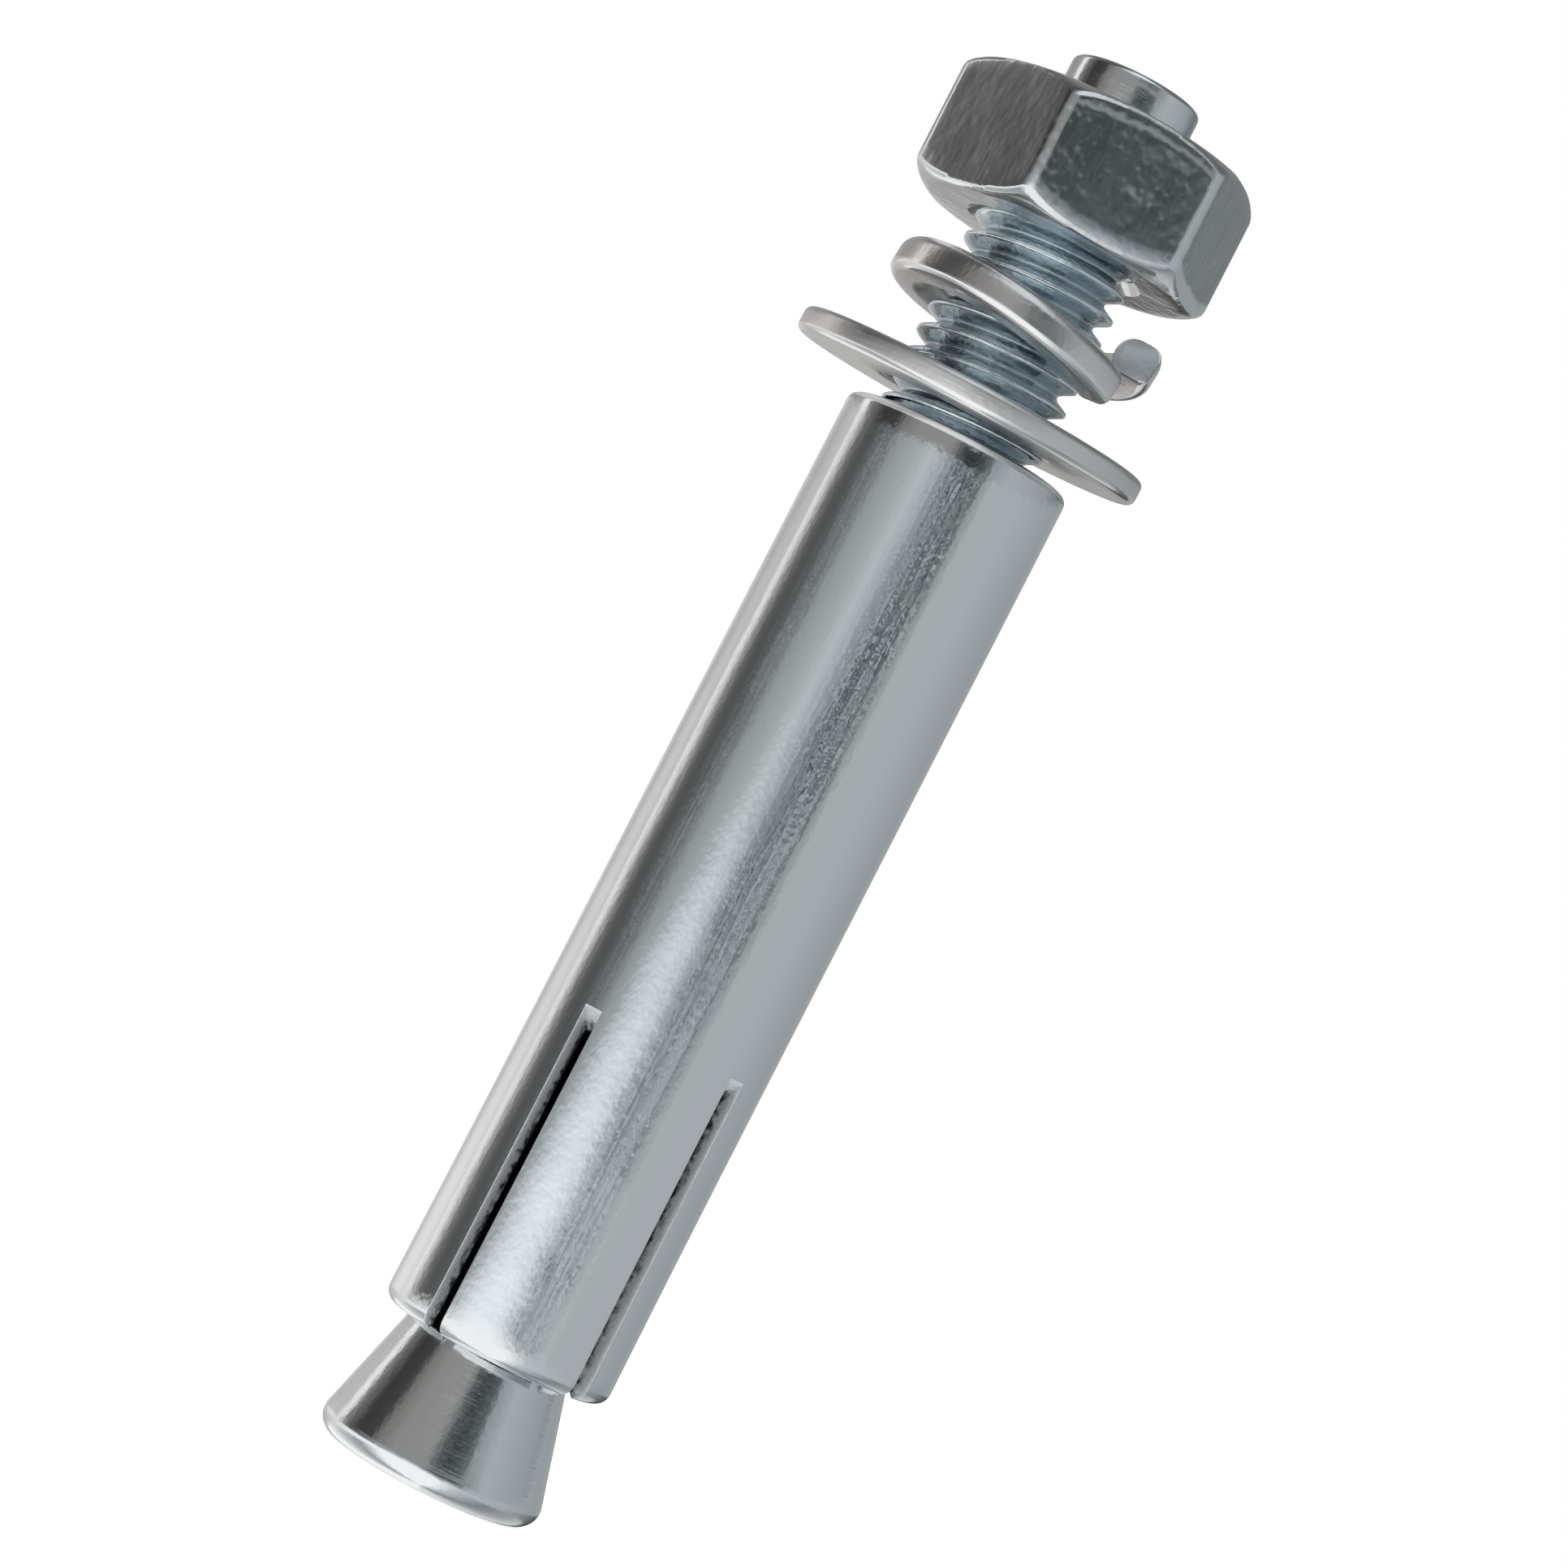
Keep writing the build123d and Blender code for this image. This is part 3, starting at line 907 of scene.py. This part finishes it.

# %% [markdown]
# ## What the metal mirrors
# Bright metal has almost no look of its own, so the room is half the material. Around a product
# table there are white screens, grey gaps between them, and the dark of the camera's side. They are
# drawn here in the world as five bands of greys, one over the other: what lies towards the floor,
# what lies below eye level, eye level itself, what lies above it, and the sky of the studio.
# Nobody knows the room of the photograph. Each band is a short list of greys by bearing, listed and
# then adjusted, round by round, against tones measured on the tube in the photograph, until the stripes
# on the tube, the cone and the washers came near them. So the room suits this one picture.
# Real panels round the object would give the same stripes, but each would stand in the way of
# another view. The world has no place, only directions, so it serves every view alike.

# %% Bands of greys round the studio
# Bearing from the camera's side in degrees, positive to the right, and the grey seen there
EYE_LEVEL = (
    (-180, "#bcbbba"), (-172, "#d2d1d1"), (-161, "#cecdcd"), (-152, "#b9b8b8"), (-141, "#b5b3b3"),
    (-128, "#c4c2c2"), (-120, "#c8c6c6"), (-116, "#f0eeee"), (-110, "#d2d0d0"), (-105, "#a09e9e"),
    (-99, "#706f6f"), (-92, "#5a5959"), (-84, "#535454"), (-70, "#626667"), (-62, "#6d7274"),
    (-54, "#989ea0"), (-30, "#aeb4b6"), (-20, "#bcc2c4"), (-10, "#a6acae"), (0, "#787f82"),
    (10, "#3f474a"), (33, "#383f42"), (38, "#8f9496"), (45, "#b1b6b8"), (80, "#b0b4b7"),
    (120, "#a3a8ab"), (142, "#9ba1a4"), (160, "#a2a5a6"), (172, "#a5a4a3"), (180, "#a9a7a6"),
)
ABOVE_EYE = (
    (-180, "#9a9897"), (-160, "#acabab"), (-144, "#959393"), (-124, "#a4a2a2"), (-117, "#f6f4f4"),
    (-111, "#f6f4f4"), (-106, "#848281"), (-98, "#6a6867"), (-91, "#545252"), (-85, "#3a3939"),
    (-66, "#3b3a3a"), (-58, "#7a7876"), (-40, "#918f8d"), (-6, "#8f8d8b"), (5, "#3f4547"),
    (14, "#1f2628"), (21, "#232a2c"), (31, "#464d4f"), (35, "#5a6163"), (40, "#979ea1"),
    (60, "#aeb3b6"), (110, "#99a0a3"), (138, "#6d7375"), (160, "#8c8e8f"), (180, "#777574"),
)
BELOW_EYE = (
    (-180, "#a19f9e"), (-168, "#b8b6b5"), (-152, "#c4c2c1"), (-95, "#f4f3f3"), (-40, "#ffffff"),
    (12, "#ffffff"), (34, "#c2c8cb"), (80, "#aeb4b7"), (115, "#969c9f"), (150, "#6a6c6c"),
    (168, "#4b4b4a"), (176, "#4b4b4a"), (180, "#6a6867"),
)
FLOORWARD = (
    (-180, "#ffffff"), (-150, "#ffffff"), (-115, "#c4c4c4"), (-80, "#a0a1a2"), (-62, "#d8d9da"),
    (-48, "#ffffff"), (14, "#ffffff"), (34, "#c0c6c9"), (75, "#858b8e"), (115, "#9da2a4"),
    (150, "#c4c5c6"), (180, "#e8e8e8"),
)
SKYWARD = (
    (-180, "#858382"), (-125, "#555555"), (-60, "#555656"), (-24, "#e8eff3"), (20, "#e8eff3"),
    (55, "#6a7072"), (120, "#5c6062"), (180, "#858382"),
)
BANDS = (EYE_LEVEL, ABOVE_EYE, BELOW_EYE, FLOORWARD, SKYWARD)

# %% Bearing and rise of each direction, and the bands laid round it
world = bpy.data.worlds.new("studio")
bpy.context.scene.world = world
world.use_nodes = True
room = world.node_tree
room.nodes.clear()

looking = add_node(room, "ShaderNodeTexCoord")
axes = add_node(room, "ShaderNodeSeparateXYZ", {0: looking.outputs["Generated"]})
rise = axes.outputs["Z"]
front = add_node(room, "ShaderNodeMath", {0: axes.outputs["Y"], 1: -1.0}, operation="MULTIPLY")
turn = add_node(room, "ShaderNodeMath", {0: axes.outputs["X"], 1: front.outputs[0]}, operation="ARCTAN2")
bearing = add_node(room, "ShaderNodeMath", {0: turn.outputs[0]}, operation="DEGREES").outputs[0]
way_round = add_node(room, "ShaderNodeMapRange",
                     {"Value": bearing, "From Min": -180.0, "From Max": 180.0}).outputs[0]
eye_level, above, below, floorward, skyward = [
    add_node(room, "ShaderNodeValToRGB", {"Fac": way_round},
             stops=[((degree + 180) / 360, linear(code)) for degree, code in greys]).outputs["Color"]
    for greys in BANDS]
print("greys in the bands, from eye level to the sky:", [len(greys) for greys in BANDS])

# %% [markdown]
# ## Clutter
# A studio is full of small light things: lamps, stands, a window's edge. Here they are a noise with
# hard edges, in front and on the left, mostly at and below eye level. They matter as much as the
# greys: the relief in the metal breaks them into the flecks that bright zinc shows where it turns
# from light to dark. Bump alone on a smooth grey would only blur that border.

# %% Light things in two parts of the room
# Rise is the sine of the angle over the horizon
ABOVE_STARTS = 0.145
ABOVE_FULL = 0.165
THINGS_PER_DEGREE = 0.45
THINGS_PER_RISE = 62.0
THING_EDGE = (0.50, 0.58)
THING_SHARE = 0.95
THINGS_LEFT_ABOVE = 0.13
# Bearings at which a part starts, is full, starts to fade and has ended
FRONT_PART = (-34, -12, 33, 42)
LEFT_PART = (-86, -64, -60, -50)


def zone(tree, value, start, full, fading, end):
    """Share that is 1 where the value lies between full and fading, and 0 beyond start and end."""
    rising = add_node(tree, "ShaderNodeMapRange", {"Value": value, "From Min": start, "From Max": full})
    falling = add_node(tree, "ShaderNodeMapRange", {"Value": value, "From Min": end, "From Max": fading})
    return add_node(tree, "ShaderNodeMath", {0: rising.outputs[0], 1: falling.outputs[0]},
                    operation="MULTIPLY").outputs[0]


clutter_at = add_node(room, "ShaderNodeCombineXYZ", {0: bearing, 1: rise})
spaced = add_node(room, "ShaderNodeVectorMath",
                  {0: clutter_at.outputs[0], 1: (THINGS_PER_DEGREE, THINGS_PER_RISE, 1.0)},
                  operation="MULTIPLY")
clutter = add_node(room, "ShaderNodeTexNoise", {"Vector": spaced.outputs[0], "Scale": 1.0, "Detail": 1.0})
things = add_node(room, "ShaderNodeMapRange",
                  {"Value": clutter.outputs["Fac"], "From Min": THING_EDGE[0], "From Max": THING_EDGE[1],
                   "To Max": THING_SHARE})
fewer = add_node(room, "ShaderNodeMapRange",
                 {"Value": rise, "From Min": ABOVE_STARTS, "From Max": ABOVE_FULL, "To Min": 1.0,
                  "To Max": THINGS_LEFT_ABOVE})
lower_things = add_node(room, "ShaderNodeMath", {0: things.outputs[0], 1: fewer.outputs[0]},
                        operation="MULTIPLY").outputs[0]
front_clutter, left_clutter = [
    add_node(room, "ShaderNodeMath", {0: lower_things, 1: zone(room, bearing, *part)},
             operation="MULTIPLY").outputs[0]
    for part in (FRONT_PART, LEFT_PART)]

# %% [markdown]
# ## Low screens and a lit shelf
# White screens lean against the table, widest at its level and narrowing upwards, so the legs of the
# sleeve mirror more white than its middle does. A lit shelf on the camera's side gives the nut's
# faces their light patches. Both are shares of a direction, from 0 to 1, like the clutter.

# %% Shares of the screens, the shelf and the bands
# Left and right bearing, highest and lowest rise, and how strong the screen is at its foot
WIDE_SCREEN = (-58, 16, 0.045, -0.10, 1.07)
RIGHT_SCREEN = (-20, 70, 0.06, -0.10, 0.33)
BACK_SCREEN = (-162, -108, 0.10, -0.08, 0.7)
SHELF_ACROSS = (-46, -34, 44, 54)
SHELF_UP = (0.235, 0.265, 0.325, 0.36)
# Rise at which a band starts and is full, and its share there
BAND_RISES = (
    (ABOVE_STARTS, ABOVE_FULL, 1.0),
    (-0.115, -0.17, 1.0),
    (-0.35, -0.44, 1.0),
    (0.43, 0.66, 0.9),
)


def low_screen(tree, left, right, highest, lowest, reach):
    """Share of a bright low screen between two bearings, which widens towards the floor."""
    sideways = add_node(tree, "ShaderNodeMapRange",
                        {"Value": bearing, "From Min": left, "From Max": right, "To Min": -1.0,
                         "To Max": 1.0}, clamp=False)
    across = add_node(tree, "ShaderNodeMath", {0: sideways.outputs[0], 1: 2.0}, operation="POWER")
    lift = add_node(tree, "ShaderNodeMapRange",
                    {"Value": rise, "From Min": highest, "From Max": lowest, "To Max": reach})
    return add_node(tree, "ShaderNodeMath", {0: lift.outputs[0], 1: across.outputs[0]},
                    operation="SUBTRACT", use_clamp=True).outputs[0]


above_share, below_share, floorward_share, sky_share = [
    add_node(room, "ShaderNodeMapRange",
             {"Value": rise, "From Min": start, "From Max": full, "To Max": share}).outputs[0]
    for start, full, share in BAND_RISES]
shelf = add_node(room, "ShaderNodeMath",
                 {0: zone(room, bearing, *SHELF_ACROSS), 1: zone(room, rise, *SHELF_UP)},
                 operation="MULTIPLY").outputs[0]

# %% [markdown]
# ## The layers of the room
# The layers are laid over the eye-level band one by one, each with the share that it takes. What the
# camera sees straight on is plain white instead, which Light Path's camera ray tells apart: a
# backdrop made of more light would wash out the metal.

# %% Lay the room together
SCREEN_WHITE = "#f8fbff"
WARM_WHITE = "#fffcfb"
layers = (
    (above_share, above),
    (shelf, linear("#8f9293")),
    (front_clutter, linear("#c0c7ca")),
    (left_clutter, linear("#9a9ea0")),
    (low_screen(room, *WIDE_SCREEN), linear(SCREEN_WHITE)),
    (low_screen(room, *RIGHT_SCREEN), linear(SCREEN_WHITE)),
    (low_screen(room, *BACK_SCREEN), linear(WARM_WHITE)),
    (below_share, below),
    (floorward_share, floorward),
    (sky_share, skyward),
)
seen = eye_level
for share, colour in layers:
    seen = add_node(room, "ShaderNodeMix", {"Factor": share, "A": seen, "B": colour},
                    data_type="RGBA").outputs[2]
path = add_node(room, "ShaderNodeLightPath")
mirrored = add_node(room, "ShaderNodeBackground", {"Color": seen, "Strength": 1.0})
plain_white = add_node(room, "ShaderNodeBackground", {"Color": linear("#ffffff"), "Strength": 1.0})
either = add_node(room, "ShaderNodeMixShader",
                  {"Fac": path.outputs["Is Camera Ray"], 1: mirrored.outputs[0], 2: plain_white.outputs[0]})
add_node(room, "ShaderNodeOutputWorld", {"Surface": either.outputs[0]})
print("layers over the eye-level band:", len(layers))

# %% [markdown]
# ## A white table that keeps its shadow
# The object stands on white card. Most of the card's brightness comes from a plain white glow, which
# matches the background exactly, and a smaller part is real card that the lamps light and the object
# shades, so that only the shadow is left to see. The metal doesn't mirror this card: what lies below
# eye level is in the world already, and a card that is white all round would fill every underside.

# %% Floor
FLOOR_RADIUS = 600.0
FLOOR_GAP = 0.02
GLOW_SHARE = 0.72
GLOW_STRENGTH = 1.08

floor_shape = bmesh.new()
bmesh.ops.create_circle(floor_shape, cap_ends=True, segments=96, radius=FLOOR_RADIUS * MM)
floor_mesh = bpy.data.meshes.new("floor")
floor_shape.to_mesh(floor_mesh)
floor_shape.free()
floor = bpy.data.objects.new("floor", floor_mesh)
floor.location.z = cad_low[2] - FLOOR_GAP * MM
floor.visible_glossy = False
bpy.context.scene.collection.objects.link(floor)

card, tree = new_material("white_card")
glow = add_node(tree, "ShaderNodeEmission", {"Color": linear("#ffffff"), "Strength": GLOW_STRENGTH})
paper = add_node(tree, "ShaderNodeBsdfDiffuse", {"Color": linear("#f6f6f6")})
card_look = add_node(tree, "ShaderNodeMixShader",
                     {"Fac": GLOW_SHARE, 1: paper.outputs[0], 2: glow.outputs[0]})
add_node(tree, "ShaderNodeOutputMaterial", {"Surface": card_look.outputs[0]})
floor_mesh.materials.append(card)
print(f"floor disc of {FLOOR_RADIUS:.0f} mm radius, at {floor.location.z / MM:.2f} mm")

# %% [markdown]
# ## Lamps
# Two large soft lamps light the card. They are hidden from reflections, because the world already
# holds everything that the metal mirrors, and a lamp's hard rectangle would show on every round part.

# %% Two soft lamps
LAMP_AIM_HEIGHT = 45.0


def soft_lamp(name, bearing, height, distance, size, power):
    """Square area lamp, aimed at the middle of the object, all lengths in millimetres."""
    data = bpy.data.lights.new(name, "AREA")
    data.size = size * MM
    data.energy = power
    lamp = bpy.data.objects.new(name, data)
    lamp.visible_glossy = False
    lamp.visible_camera = False
    turn = radians(bearing)
    lamp.location = Vector((distance * sin(turn), -distance * cos(turn), height)) * MM
    aim = Vector((0, 0, LAMP_AIM_HEIGHT * MM)) - lamp.location
    lamp.rotation_euler = aim.to_track_quat("-Z", "Y").to_euler()
    bpy.context.scene.collection.objects.link(lamp)
    print(f"{name}: {power} W over {size} mm")


soft_lamp("key_lamp", bearing=-50, height=520, distance=420, size=420, power=9.0)
soft_lamp("fill_lamp", bearing=70, height=480, distance=420, size=500, power=6.0)

# %% [markdown]
# ## Camera
# The photograph looks at the anchor's side from about 27 centimetres away, very slightly from below
# its middle, and the anchor leans to the right in the frame. The anchor stands upright here, so the
# camera is the one that is tipped. Its lens follows from the width that the frame covers at the
# anchor's axis, so distance and framing can be set apart.

# %% Camera
CAMERA_DISTANCE = 269.0
CAMERA_BELOW = 2.0
CAMERA_ROLL = 27.2
AIM = Vector((0.24, 0.0, 44.73))
FRAME_WIDTH = 90.2
NEAREST_SEEN = 10.0

camera_data = bpy.data.cameras.new("camera")
camera = bpy.data.objects.new("camera", camera_data)
bpy.context.scene.collection.objects.link(camera)
bpy.context.scene.camera = camera
camera_data.lens = camera_data.sensor_width * CAMERA_DISTANCE / FRAME_WIDTH
camera_data.clip_start = NEAREST_SEEN * MM
tipped, roll = radians(CAMERA_BELOW), radians(CAMERA_ROLL)
towards_eye = Vector((0.0, -cos(tipped), -sin(tipped)))
level_right = Vector((1.0, 0.0, 0.0))
level_up = level_right.cross(-towards_eye)
right = level_right * cos(roll) + level_up * sin(roll)
up = level_up * cos(roll) - level_right * sin(roll)
stance = Matrix((right, up, towards_eye)).transposed().to_4x4()
stance.translation = (AIM + towards_eye * CAMERA_DISTANCE) * MM
camera.matrix_world = stance
print(f"lens {camera_data.lens:.1f} mm at {CAMERA_DISTANCE:.0f} mm")

# %% [markdown]
# ## Finish
# The plain view transform shows each value as it is written.

# %% View transform
bpy.context.scene.view_settings.view_transform = "Standard"
